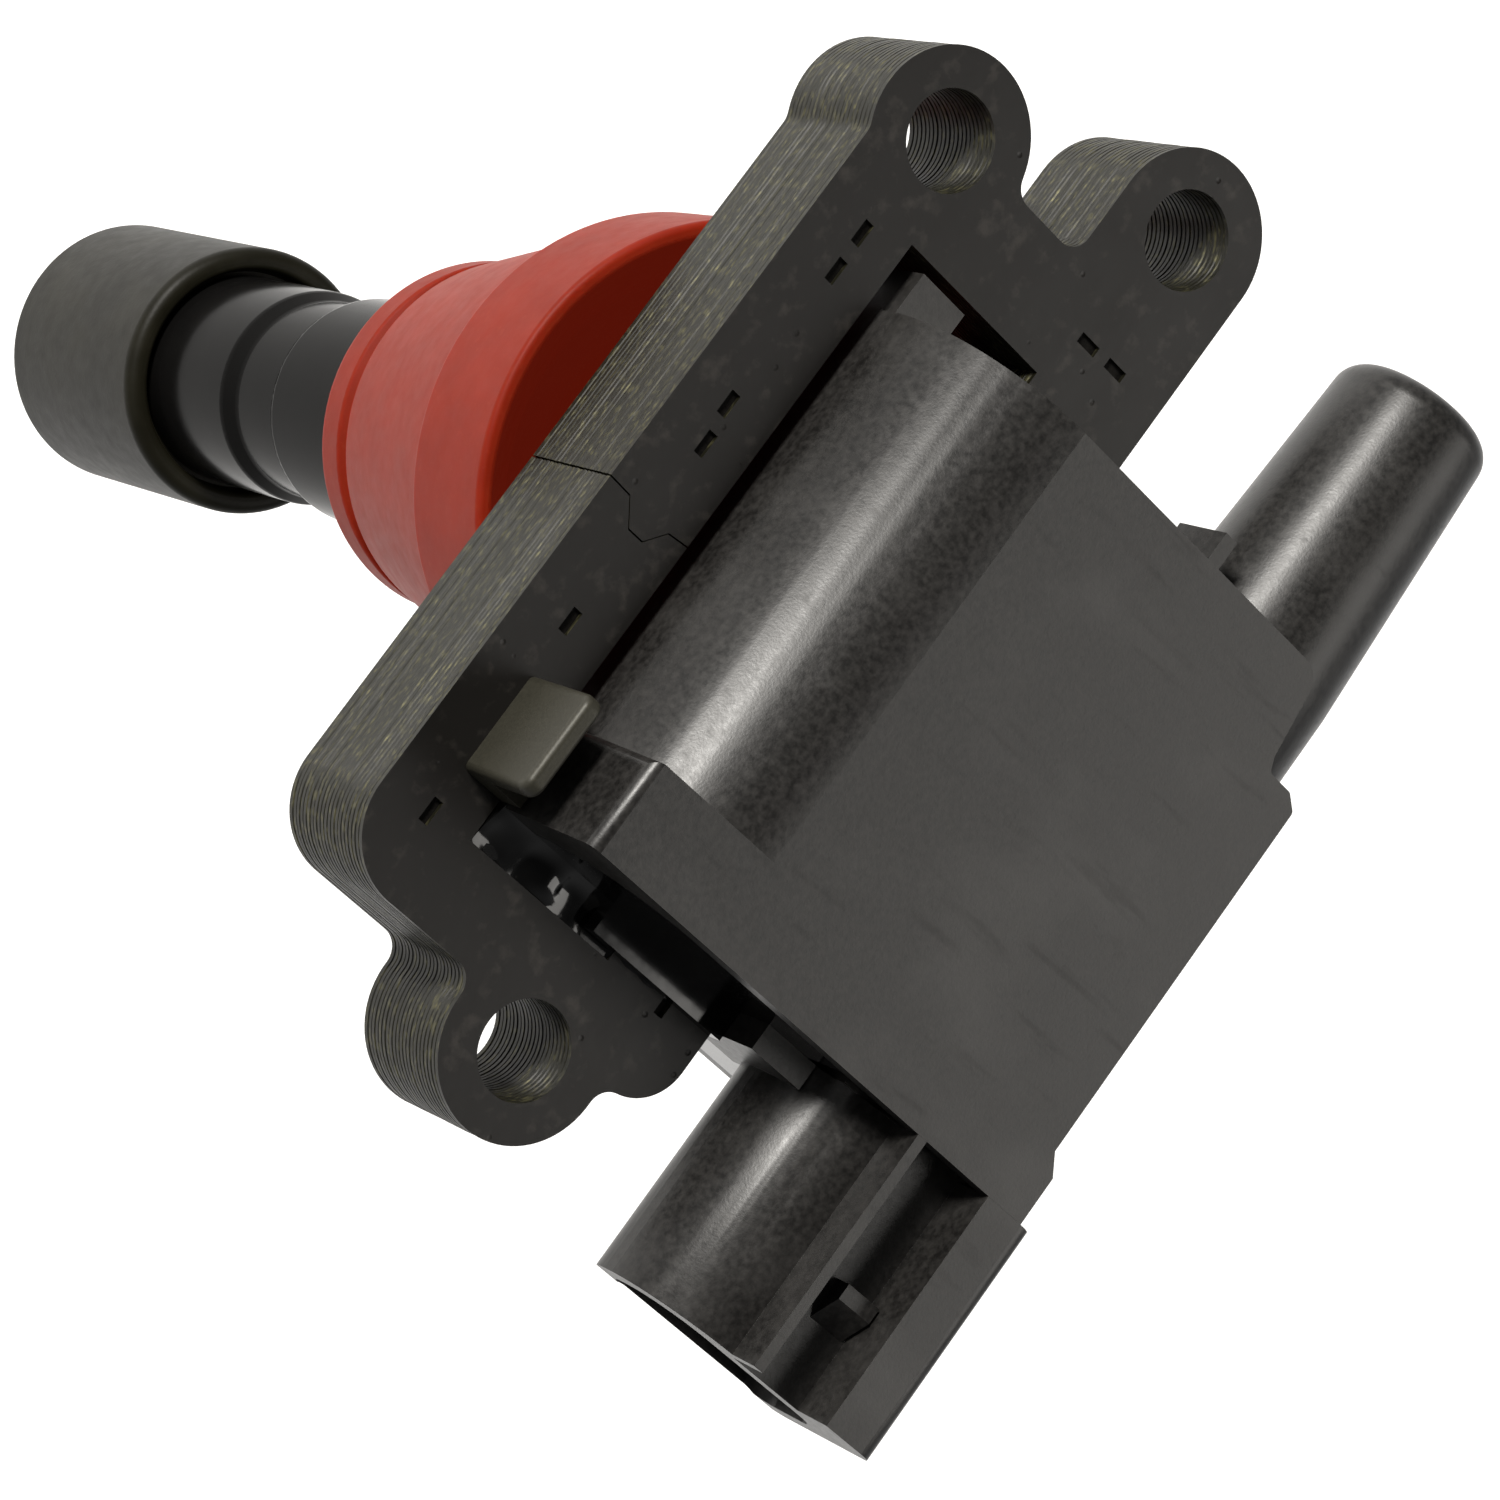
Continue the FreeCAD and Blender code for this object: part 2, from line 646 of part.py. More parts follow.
def make_windings():
    """Two bobbins and two windings, one inside the other."""
    back, front = D.wind_back, D.wind_front
    in_y, in_z = LEG_HALF_Y + D.leg_fit, LEG_HALF_Z + D.leg_fit
    tube_y, tube_z = in_y + D.bobbin_wall, in_z + D.bobbin_wall
    wire_y, wire_z = tube_y + D.primary_build, tube_z + D.primary_build
    end = 1.0

    bobbin = new_body("primary_bobbin")
    sleeve(bobbin, back, back + end, wire_y, wire_z)
    sleeve(bobbin, front - end, front, wire_y, wire_z)
    sleeve(bobbin, back, front, tube_y, tube_z)
    bore_out(bobbin, back, front, in_y, in_z)
    keep(bobbin, "primary_bobbin")

    winding = new_body("primary_winding")
    sleeve(winding, back + end, front - end, wire_y, wire_z, 1.2)
    bore_out(winding, back + end, front - end, tube_y, tube_z)
    keep(winding, "primary_winding")

    hole_y, hole_z = wire_y + D.secondary_gap, wire_z + D.secondary_gap
    wall_y, wall_z = hole_y + D.bobbin_wall, hole_z + D.bobbin_wall
    spool = new_body("secondary_bobbin")
    sections = 8
    for number in range(sections + 1):
        low = back + number * D.section_pitch
        sleeve(spool, low, low + D.section_flange, D.flange_half, D.flange_half, D.flange_round)
    sleeve(spool, back, front, wall_y, wall_z)
    bore_out(spool, back, front, hole_y, hole_z)
    keep(spool, "secondary_bobbin")

    coils = []
    for number in range(sections):
        coil = new_body("secondary_section_" + str(number))
        low = back + number * D.section_pitch + D.section_flange
        high = low + D.section_pitch - D.section_flange
        sleeve(coil, low, high, D.wire_half, D.wire_half, D.flange_round - 0.7)
        bore_out(coil, low, high, wall_y, wall_z)
        coils.append(coil)
    keep(fused("secondary_winding", coils), "secondary_winding")


# ---- case -----------------------------------------------------------------------------------------------
TOP_INNER = D.case_top - D.case_wall
LOW_INNER = D.case_bottom + D.case_wall
LEFT_INNER = D.case_left - D.case_wall
RIGHT_INNER = D.case_right + D.case_wall


def make_hollow(label):
    """The space inside the case: open at the back, narrower beside the tower."""
    body = new_body(label)
    wide = rectangle(body, "YZ_Plane", (RIGHT_INNER, LOW_INNER), (LEFT_INNER, TOP_INNER), D.case_back)
    pad(body, wide, D.nose_back - D.case_wall - D.case_back)
    narrow_low = (D.nose_right + D.case_wall, LOW_INNER)
    narrow = rectangle(body, "YZ_Plane", narrow_low, (LEFT_INNER, TOP_INNER), D.case_back)
    pad(body, narrow, D.case_front - D.case_wall - D.case_back)
    barrel = lengthwise_near(body, [(LEFT_INNER.value, TOP_INNER.value)])
    dress(body, "Fillet", barrel, D.barrel_radius - D.case_wall)
    low_edge = lengthwise_near(body, [(LEFT_INNER.value, LOW_INNER.value)])
    dress(body, "Fillet", low_edge, 2.0)
    return body


def case_outline():
    """The case from above: a step beside the connector and a nose beside the tower."""
    return [
        (D.case_back, D.case_right - 1.15),
        (D.case_back + 3.8, D.case_right - 1.15),
        (D.case_back + 5.3, D.case_right),
        (D.nose_back - 0.9, D.case_right),
        (D.nose_back, D.case_right + 1.2),
        (D.nose_back, D.nose_right - 0.9),
        (D.nose_back + 1.0, D.nose_right - 0.4),
        (D.case_front, D.nose_right + 0.5),
        (D.case_front, D.case_left),
        (D.case_back, D.case_left),
    ]


def add_flange(body):
    """Full-height flange at the back, flared where it passes the core."""
    foot = D.flange_left + D.flange_flare
    inside = D.case_left - D.barrel_radius - 1.0
    points = [
        (inside, CORE_BOTTOM + 0.2),
        (foot, CORE_BOTTOM + 0.2),
        (foot, D.core_top),
        (D.flange_left, D.case_top),
        (inside, D.case_top),
    ]
    pad(body, polygon(body, "YZ_Plane", points, D.case_back), D.flange_front - D.case_back)

    def is_flange_corner(edge):
        spot = middle(edge)
        above = spot.z > D.core_top.value + 1.0
        return above and spot.y > D.flange_left.value - 1e-3 and spot.x > D.case_back.value + 1e-3

    dress(body, "Fillet", edges_where(body, is_flange_corner), D.flange_edge)


def make_hv_tower(shell):
    """Tapered high-voltage tower, turned about its own axis along X and notched round the end of the case."""
    body = new_body("tower_solid")
    points = [
        (D.nose_back, ZERO),
        (D.tower_end, ZERO),
        (D.tower_end, D.tower_tip),
        (D.case_front, D.tower_root),
        (D.nose_back, D.tower_root),
    ]
    sketch = polygon(body, "XY_Plane", points, D.tower_z, (0.0, D.tower_y))
    item = body.newObject("PartDesign::Revolution", "tower_turn")
    item.Profile = sketch
    item.ReferenceAxis = (sketch, ["H_Axis"])
    item.Angle = 360.0
    doc.recompute()
    tip = edges_where(body, lambda edge: abs(edge.BoundBox.XMin - D.tower_end.value) < 1e-4)
    dress(body, "Fillet", tip, D.tower_round)
    mouth = circles(body, "YZ_Plane", [(D.tower_y, D.tower_z, D.tower_bore)], D.tower_end)
    pocket(body, mouth, D.tower_socket)
    socket_end = D.tower_end - D.tower_socket
    seat = circles(body, "YZ_Plane", [(D.tower_y, D.tower_z, D.cup_radius)], socket_end)
    pocket(body, seat, D.cup_length)
    pin_way = circles(body, "YZ_Plane", [(D.tower_y, D.tower_z, D.pin_radius)], socket_end)
    pocket(body, pin_way, socket_end - D.nose_back)
    keep(cut("hv_tower", body, shell), "hv_tower")


def add_tower_fin(body):
    """Small upright fin on the end of the case, beside the tower's root."""
    fin_low = (D.case_front - 0.5, D.tower_y + D.fin_off)
    fin_high = (D.case_front + D.fin_reach, D.tower_y + D.fin_off + D.fin_thick)
    pad(body, rectangle(body, "XY_Plane", fin_low, fin_high, D.fin_low), D.fin_height)


def make_coil_case():
    """Moulded case with its flange, rib and fin, hollow and open at the back, and the tower on its end."""
    body = new_body("case_solid")
    pad(body, polygon(body, "XY_Plane", case_outline(), D.case_bottom), D.case_top - D.case_bottom)
    barrel = lengthwise_near(body, [(D.case_left.value, D.case_top.value)])
    dress(body, "Fillet", barrel, D.barrel_radius)
    low_edge = lengthwise_near(body, [(D.case_left.value, D.case_bottom.value)])
    dress(body, "Fillet", low_edge, 3.0)
    outline = [(x.value, y.value) for x, y in case_outline()]
    dress(body, "Fillet", upright_near(body, outline[7:8], 0.1), 1.8)
    dress(body, "Fillet", upright_near(body, outline[3:7], 0.1), 0.45)
    add_flange(body)
    add_tower_fin(body)
    rib_low = (D.case_front - 1.0, D.case_left - 4.7)
    rib = rectangle(body, "XY_Plane", rib_low, (D.case_front + 3.5, D.case_left - 0.35), CORE_BOTTOM + 0.2)
    pad(body, rib, D.core_thick - 0.25)
    tunnel_low = (D.core_right - 0.1, CORE_BOTTOM - 0.1)
    tunnel = rectangle(body, "YZ_Plane", tunnel_low, (D.window_right + 0.1, D.core_top + 0.1), D.case_front)
    pocket(body, tunnel, D.case_wall + 1.0)
    pin_way = circles(body, "YZ_Plane", [(D.tower_y, D.tower_z, D.pin_radius)], D.case_front)
    pocket(body, pin_way, D.case_front - D.tower_back)
    post = circles(body, "XY_Plane", [(0.0, 0.0, D.rod_radius)], LOW_INNER)
    pocket(body, post, D.case_wall + 1.0)
    hollow = make_hollow("case_hollow")
    keep(cut("coil_case", body, hollow), "coil_case")
    make_hv_tower(body)


# ---- connector ------------------------------------------------------------------------------------------
def pin_rows():
    """Middle of each connector pin across the mouth."""
    return [D.pin_middle + D.pin_pitch * step for step in (-1.0, 0.0, 1.0)]


PIN_Z = (D.plug_low + D.slot_floor) / 2
PIN_END = D.plug_end + 5.6
PIN_TAIL = D.case_back + 2.6


def make_plug_hollow():
    """The space inside the shroud, rounded like its outside."""
    body = new_body("plug_hollow")
    low = (D.plug_right + D.plug_wall, D.plug_low + D.plug_wall)
    high = (D.plug_left - D.plug_wall, D.slot_floor - D.plug_wall)
    pad(body, rectangle(body, "YZ_Plane", low, high, D.plug_end - 1.0), D.plug_floor - D.plug_end + 1.0)
    shoulder = lengthwise_near(body, [(high[0].value, high[1].value)])
    dress(body, "Fillet", shoulder, D.plug_round - D.plug_wall - 1.0)
    others = [(low[0].value, low[1].value), (low[0].value, high[1].value), (high[0].value, low[1].value)]
    dress(body, "Fillet", lengthwise_near(body, others), 1.9)
    return body


def make_connector_shell():
    """Open-ended shroud with two keying ribs, a lock ramp between them, a rounded shoulder and a foot."""
    body = new_body("shell_solid")
    back, front = D.plug_end, D.case_back
    length = front - back
    shelf = D.rib_one_y + D.rib_thick
    low_points = [
        (D.plug_right, D.plug_low),
        (D.plug_left, D.plug_low),
        (D.plug_left, D.plug_shelf),
        (D.rib_one_y, D.plug_shelf),
        (D.rib_one_y, D.slot_floor),
        (D.plug_right, D.slot_floor),
    ]
    pad(body, polygon(body, "YZ_Plane", low_points, back), length)
    shoulder = lengthwise_near(body, [(D.plug_left.value, D.plug_shelf.value)])
    dress(body, "Fillet", shoulder, D.plug_round)
    lower = [(D.plug_left.value, D.plug_low.value), (D.plug_right.value, D.plug_low.value)]
    dress(body, "Fillet", lengthwise_near(body, lower), 3.5)
    rib = rectangle(body, "YZ_Plane", (D.rib_one_y, D.slot_floor - 0.5), (shelf, D.case_top), back)
    pad(body, rib, length)
    deck = rectangle(body, "YZ_Plane", (D.plug_right, D.slot_floor - 0.5), (D.slot_right, D.case_top), back)
    pad(body, deck, length)
    foot_low = (D.plug_left - 1.0, D.plug_low)
    foot = rectangle(body, "YZ_Plane", foot_low, (D.core_right - 0.05, D.foot_top), front - D.foot_thick)
    pad(body, foot, D.foot_thick)
    crown = lengthwise_near(body, [(D.plug_right.value, D.case_top.value)])
    dress(body, "Fillet", crown, 1.4)
    lock = back + D.lock_back
    ramp = [
        (lock, D.slot_floor - 0.2),
        (lock + D.lock_run, D.slot_floor - 0.2),
        (lock + D.lock_run, D.slot_floor + D.lock_rise),
        (lock + D.lock_run - 1.2, D.slot_floor + D.lock_rise),
    ]
    pad(body, polygon(body, "XZ_Plane", ramp, -(D.slot_right + 0.3)), D.lock_width, True)
    slant = [
        (back - 0.2, D.slant_top),
        (back - 0.2, D.plug_low - 0.2),
        (back + D.mouth_slant, D.plug_low - 0.2),
    ]
    pocket(body, polygon(body, "XZ_Plane", slant, -D.plug_left - 1.0), D.plug_left - D.plug_right + 3.0, True)
    root_low = (RIGHT_INNER + 0.2, D.plug_low + 1.2)
    root = rectangle(body, "YZ_Plane", root_low, (D.plug_left - 2.2, D.slot_floor), front)
    pad(body, root, D.root_length)
    root_end = front + D.root_length
    for y in pin_rows():
        low = (y - D.pin_wide / 2, PIN_Z - D.pin_thick / 2)
        high = (y + D.pin_wide / 2, PIN_Z + D.pin_thick / 2)
        pocket(body, rectangle(body, "YZ_Plane", low, high, root_end), root_end - D.plug_floor)
    keep(cut("connector_shell", body, make_plug_hollow()), "connector_shell")


def make_connector_pins():
    """Three tinned blades through the floor of the shroud."""
    blades = []
    for number, y in enumerate(pin_rows()):
        low = (PIN_END, y - D.pin_wide / 2, PIN_Z - D.pin_thick / 2)
        high = (PIN_TAIL, y + D.pin_wide / 2, PIN_Z + D.pin_thick / 2)
        blades.append(block("blade_" + str(number), low, high))
    keep(fused("connector_pins", blades), "connector_pins")


# ---- inside the case ------------------------------------------------------------------------------------
PACK_BACK = D.wind_back + 2.0
PACK_FRONT = D.nose_back - 3.8
FLANGE_RIGHT = LEG_Y - D.flange_half
PIN_BACK = PACK_FRONT + 0.2
DIODE_X = PACK_FRONT + 0.75


def make_igniter():
    """Heat sink, circuit board and power chip, stacked against the right wall."""
    sink_right = RIGHT_INNER + 0.15
    board_right = sink_right + 1.2
    chip_right = board_right + 1.0
    low_z, high_z = LOW_INNER + 3.0, TOP_INNER - 3.0
    keep(block("heat_sink", (PACK_BACK, sink_right, low_z), (PACK_FRONT, board_right, high_z)), "heat_sink")
    board_low = (PACK_BACK + 1.0, board_right, low_z + 1.0)
    board_high = (PACK_FRONT - 1.0, chip_right, high_z - 1.0)
    keep(block("igniter_board", board_low, board_high), "igniter_board")
    chip_low = (PACK_BACK + 7.0, chip_right, low_z + 7.0)
    chip_high = (PACK_BACK + 19.0, chip_right + 2.6, low_z + 17.0)
    body_block = block("chip_body", chip_low, chip_high)
    legs = []
    for number in range(3):
        left = chip_low[0] + 2.2 + number * 3.0
        leg_low = (left, chip_right, chip_low[2] - 4.0)
        leg_high = (left + 1.4, chip_right + 0.6, chip_low[2])
        legs.append(block("chip_leg_" + str(number), leg_low, leg_high))
    keep(fused("igniter_chip", [body_block] + legs), "igniter_chip")
    return chip_right + 2.6


def make_wiring(chip_face):
    """Leads from the chip to the windings, and a diode between the windings and the tower."""
    leads = []
    for number, height in enumerate((D.core_top - 5.0, D.core_top - 8.0)):
        place = (PACK_BACK + 12.0, chip_face, height)
        leads.append(rod("lead_" + str(number), D.wire_radius, FLANGE_RIGHT - chip_face, place, ALONG_Y))
    keep(fused("primary_leads", leads), "primary_leads")
    cup_back = D.tower_end - D.tower_socket - D.cup_length
    shank = rod("tower_pin", D.pin_radius, cup_back - PIN_BACK, (PIN_BACK, D.tower_y, D.tower_z), ALONG_X)
    cup = rod("tower_cup", D.cup_radius, D.cup_length, (cup_back, D.tower_y, D.tower_z), ALONG_X)
    keep(fused("tower_terminal", [shank, cup]), "tower_terminal")
    body = rod("diode_body", 1.5, 4.6, (DIODE_X, D.tower_y + 2.4, D.tower_z), ALONG_Y)
    wire_place = (DIODE_X, D.tower_y + 1.5, D.tower_z)
    wire = rod("diode_wire", D.wire_radius, FLANGE_RIGHT - D.tower_y - 1.5, wire_place, ALONG_Y)
    keep(fused("hv_diode", [body, wire]), "hv_diode")


def make_potting_epoxy(chip_face):
    """Epoxy round everything in the case, with a fillet of it over the open back."""
    block_body = make_hollow("epoxy_block")
    lip_low = (D.window_back + 0.05, D.window_right + 0.05, CORE_BOTTOM + 0.4)
    lip = block("epoxy_lip", lip_low, (D.case_back, D.window_left - 0.2, D.core_top - 0.3))
    cap_low = (D.window_back + 0.6, D.core_right, D.core_top)
    cap = block("epoxy_cap", cap_low, (D.case_back, D.window_right + 3.0, D.core_top + 1.4))
    base = fused("epoxy_base", [block_body, lip, cap])
    envelope = new_body("winding_envelope")
    sleeve(envelope, D.wind_back, D.wind_front, D.flange_half, D.flange_half, D.flange_round)
    leg_low = (D.core_back, D.core_right, CORE_BOTTOM)
    sink_low = (PACK_BACK, RIGHT_INNER, LOW_INNER + 3.0)
    root_low = (D.case_back - 4.0, D.case_right - 3.0, D.plug_low)
    wire_place = (DIODE_X, D.tower_y + 1.5, D.tower_z)
    tools = [
        envelope,
        block("leg_space", leg_low, (D.case_front, D.window_right, D.core_top)),
        block("igniter_space", sink_low, (PACK_FRONT, chip_face, TOP_INNER - 3.0)),
        block("root_space", root_low, (D.case_back + D.root_length, D.plug_left, D.case_top)),
        rod("post_space", D.rod_radius, D.rod_top - LOW_INNER, (0.0, 0.0, LOW_INNER)),
        rod("pin_space", D.pin_radius, 5.0, (PIN_BACK, D.tower_y, D.tower_z), ALONG_X),
        rod("diode_space", 1.5, 4.6, (DIODE_X, D.tower_y + 2.4, D.tower_z), ALONG_Y),
        rod("diode_wire_space", D.wire_radius, FLANGE_RIGHT - D.tower_y - 1.5, wire_place, ALONG_Y),
        block(
            "blade_space",
            (D.case_back, pin_rows()[0] - D.pin_wide / 2, PIN_Z - D.pin_thick / 2),
            (PIN_TAIL, pin_rows()[2] + D.pin_wide / 2, PIN_Z + D.pin_thick / 2),
        ),
    ]
    for number, height in enumerate((D.core_top - 5.0, D.core_top - 8.0)):
        place = (PACK_BACK + 12.0, chip_face, height)
        length = FLANGE_RIGHT - chip_face
        tools.append(rod("lead_space_" + str(number), D.wire_radius, length, place, ALONG_Y))
    item = base
    for number, tool in enumerate(tools):
        item = cut("epoxy_less_" + str(number), item, tool)
    keep(item, "potting_epoxy")


def finish():
    """Check every object and write one file for each sub-part."""
    doc.recompute()
    for item in doc.Objects:
        if "Invalid" in item.State or "Error" in item.State:
            raise RuntimeError(item.Label + " did not build: " + str(item.State))
    os.makedirs("parts", exist_ok=True)
    for part in parts:
        shape = part.Shape
        if shape.isNull() or not shape.isValid():
            raise RuntimeError(part.Label + " has no valid shape")
    for part in parts:
        part.Shape.exportStep("parts/" + part.Label + ".step")
        print(part.Label, len(part.Shape.Solids), round(part.Shape.Volume, 1))


make_plug_boot()
make_stem_tube()
make_plug_contact()
make_contact_spring()
make_resistor()
make_stem_terminal()
make_well_seal()
make_core_upper()
make_core_lower()
make_core_magnet()
make_core_clip()
make_windings()
make_coil_case()
make_connector_shell()
make_connector_pins()
chip_front = make_igniter()
make_wiring(chip_front)
make_potting_epoxy(chip_front)
finish()
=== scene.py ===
import math
import random

import bmesh
import bpy
from mathutils import Matrix, Vector, noise


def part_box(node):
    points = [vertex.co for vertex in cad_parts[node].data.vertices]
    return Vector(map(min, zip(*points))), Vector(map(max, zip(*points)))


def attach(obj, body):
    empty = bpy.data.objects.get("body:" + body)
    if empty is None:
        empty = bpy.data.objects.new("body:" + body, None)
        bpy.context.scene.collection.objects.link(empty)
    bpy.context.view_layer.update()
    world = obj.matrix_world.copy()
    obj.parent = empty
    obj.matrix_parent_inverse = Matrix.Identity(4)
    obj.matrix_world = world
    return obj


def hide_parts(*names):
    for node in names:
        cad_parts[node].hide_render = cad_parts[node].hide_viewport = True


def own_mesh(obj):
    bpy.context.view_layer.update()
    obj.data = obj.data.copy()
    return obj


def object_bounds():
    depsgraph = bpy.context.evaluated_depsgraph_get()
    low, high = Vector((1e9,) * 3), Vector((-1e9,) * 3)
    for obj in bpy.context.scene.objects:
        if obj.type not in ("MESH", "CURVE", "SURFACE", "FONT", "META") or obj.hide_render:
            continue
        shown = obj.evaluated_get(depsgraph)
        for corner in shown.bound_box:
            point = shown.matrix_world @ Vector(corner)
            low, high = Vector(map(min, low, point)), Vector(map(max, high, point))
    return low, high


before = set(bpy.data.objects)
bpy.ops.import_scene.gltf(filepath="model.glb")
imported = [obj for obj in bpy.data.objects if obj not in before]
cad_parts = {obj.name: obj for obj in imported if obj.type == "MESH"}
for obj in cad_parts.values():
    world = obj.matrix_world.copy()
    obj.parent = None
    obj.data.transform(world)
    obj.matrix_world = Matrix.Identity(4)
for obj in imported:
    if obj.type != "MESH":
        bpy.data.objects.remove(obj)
cad_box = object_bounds()

# Looks of the ignition coil. Lengths named here are in millimetres and go through MM; the scene is in metres.
MM = 0.001
COIL = "coil"
WELD = 0.002 * MM
WAVE_NODE_TURNS = 20


# ---- shader building ------------------------------------------------------------------------------------
class Finish:
    """A Principled material with short calls for the nodes that feed it. Texture space is in millimetres."""

    def __init__(self, name, **constants):
        self.material = bpy.data.materials.new(name)
        self.material.use_nodes = True
        self.tree = self.material.node_tree
        self.shader = self.tree.nodes["Principled BSDF"]
        self.bumped = None
        for socket, value in constants.items():
            self.shader.inputs[socket.replace("_", " ")].default_value = value

    def node(self, kind, inputs=(), **settings):
        made = self.tree.nodes.new(kind)
        for name, value in settings.items():
            setattr(made, name, value)
        for socket, value in dict(inputs).items():
            self.plug(made.inputs[socket], value)
        return made

    def plug(self, socket, value):
        if isinstance(value, bpy.types.NodeSocket):
            self.tree.links.new(value, socket)
        else:
            socket.default_value = value

    def place(self, stretch=(1, 1, 1), turn=(0, 0, 0)):
        """Object space in millimetres, stretched along its axes."""
        where = self.node("ShaderNodeTexCoord").outputs["Object"]
        scale = [share / MM for share in stretch]
        mapped = self.node("ShaderNodeMapping", {"Vector": where, "Scale": scale, "Rotation": turn})
        return mapped.outputs["Vector"]

    def noise(self, grain, detail=3.0, stretch=(1, 1, 1), roughness=0.55, turn=(0, 0, 0)):
        """Noise whose features are about grain millimetres wide."""
        inputs = {
            "Vector": self.place(stretch, turn),
            "Scale": 1 / grain,
            "Detail": detail,
            "Roughness": roughness,
        }
        return self.node("ShaderNodeTexNoise", inputs).outputs["Fac"]

    def cells(self, grain, randomness=1.0):
        inputs = {"Vector": self.place(), "Scale": 1 / grain, "Randomness": randomness}
        return self.node("ShaderNodeTexVoronoi", inputs).outputs["Distance"]

    def waves(self, pitch, axis, distortion=0.0, detail=1.0):
        """Bands across one axis, pitch millimetres apart."""
        scale = math.tau / WAVE_NODE_TURNS / pitch
        inputs = {"Vector": self.place(), "Scale": scale, "Distortion": distortion, "Detail": detail}
        made = self.node("ShaderNodeTexWave", inputs, wave_type="BANDS", bands_direction=axis)
        return made.outputs["Fac"]

    def span(self, value, low, high, start=0.0, stop=1.0):
        """value from start to stop, as low to high."""
        inputs = {"Value": value, "From Min": start, "From Max": stop, "To Min": low, "To Max": high}
        return self.node("ShaderNodeMapRange", inputs).outputs["Result"]

    def maths(self, operation, first, second):
        made = self.node("ShaderNodeMath", operation=operation)
        self.plug(made.inputs[0], first)
        self.plug(made.inputs[1], second)
        return made.outputs["Value"]

    def blend(self, share, first, second):
        """Colour that goes from first to second with share."""
        made = self.node("ShaderNodeMix", data_type="RGBA")
        colours = [socket for socket in made.inputs if socket.type == "RGBA"]
        self.plug(made.inputs["Factor"], share)
        self.plug(colours[0], first)
        self.plug(colours[1], second)
        return [socket for socket in made.outputs if socket.type == "RGBA"][0]

    def colour(self, value):
        self.plug(self.shader.inputs["Base Color"], value)

    def rough(self, value):
        self.plug(self.shader.inputs["Roughness"], value)

    def bump(self, height, depth, strength=1.0):
        """Relief of depth millimetres, on top of the relief that is already there."""
        inputs = {"Height": height, "Distance": depth * MM, "Strength": strength}
        made = self.node("ShaderNodeBump", inputs)
        if self.bumped is not None:
            self.plug(made.inputs["Normal"], self.bumped)
        self.bumped = made.outputs["Normal"]
        self.plug(self.shader.inputs["Normal"], self.bumped)


def grey(level, warmth=0.0):
    return (level * (1 + warmth), level, level * (1 - warmth), 1)


def core_paint():
    """Semi-gloss black dip over the sheets' flat sides, with scuffs and a few pits."""
    f = Finish("core_paint", Specular_IOR_Level=0.2)
    scuff = f.span(f.noise(1.4, 5.0), 0, 1, 0.56, 0.72)
    f.colour(f.blend(scuff, grey(0.0048, 0.10), grey(0.014, 0.12)))
    f.rough(f.span(f.noise(5.0, 4.0), 0.30, 0.44))
    f.bump(f.noise(0.9, 2.0), 0.008)
    f.bump(f.span(f.cells(2.6), 0, 1, 0.03, 0.09), 0.05, 0.6)
    return f.material


def core_edge():
    """Cut edges of the sheets: thin olive coating over bare steel, brighter in streaks along each sheet."""
    f = Finish("core_edge", Specular_IOR_Level=0.2)
    streak = f.noise(0.5, 2.0, (0.6, 0.6, 1.6))
    worn = f.span(streak, 0, 1, 0.52, 0.72)
    f.colour(f.blend(worn, (0.0045, 0.0042, 0.0018, 1), (0.050, 0.047, 0.024, 1)))
    f.plug(f.shader.inputs["Metallic"], f.span(worn, 0.0, 0.5))
    f.rough(f.span(f.noise(1.2, 3.0), 0.40, 0.56))
    f.bump(f.noise(0.4, 2.0), 0.010)
    return f.material


def stamp_painted_shade():
    """Floor of the stamped marks, painted near-black with a rough grain: painted shade in the recesses."""
    f = Finish("stamp_painted_shade", Specular_IOR_Level=0.03)
    stamp_grain = f.noise(0.35, 3.0)
    f.colour(f.blend(stamp_grain, grey(0.0008), grey(0.008, 0.1)))
    f.rough(f.span(stamp_grain, 0.45, 0.7))
    f.bump(stamp_grain, 0.08)
    return f.material


def case_plastic():
    """Satin black moulding: mottled grain, faint rub marks and dust."""
    f = Finish("case_plastic", Specular_IOR_Level=0.32)
    mottle = f.noise(0.5, 6.0)
    dust = f.span(f.noise(9.0, 5.0, (1, 0.6, 1)), 0, 1, 0.5, 0.75)
    base = f.blend(f.span(mottle, 0, 1, 0.35, 0.7), grey(0.0050, 0.06), grey(0.015, 0.06))
    f.colour(f.blend(f.span(dust, 0, 0.35), base, grey(0.038, 0.04)))
    rub = f.span(f.noise(1.1, 5.0, (1.0, 0.12, 1.0), turn=(0, 0, 0.6)), 0, 1, 0.6, 0.7)
    rough = f.span(mottle, 0.33, 0.41, 0.3, 0.7)
    f.rough(f.maths("ADD", rough, f.span(rub, 0.0, 0.07)))
    f.bump(f.noise(0.20, 2.0), 0.008)
    f.bump(f.noise(2.2, 2.0), 0.012, 0.6)
    return f.material


def gloss_plastic():
    """High-gloss black tube, slightly wavy."""
    f = Finish("gloss_plastic", Specular_IOR_Level=0.025)
    f.colour(f.blend(f.noise(6.0, 3.0), grey(0.002), grey(0.004, 0.05)))
    f.rough(f.span(f.noise(2.5, 4.0), 0.10, 0.20))
    f.bump(f.noise(4.0, 2.0), 0.02, 0.5)
    return f.material


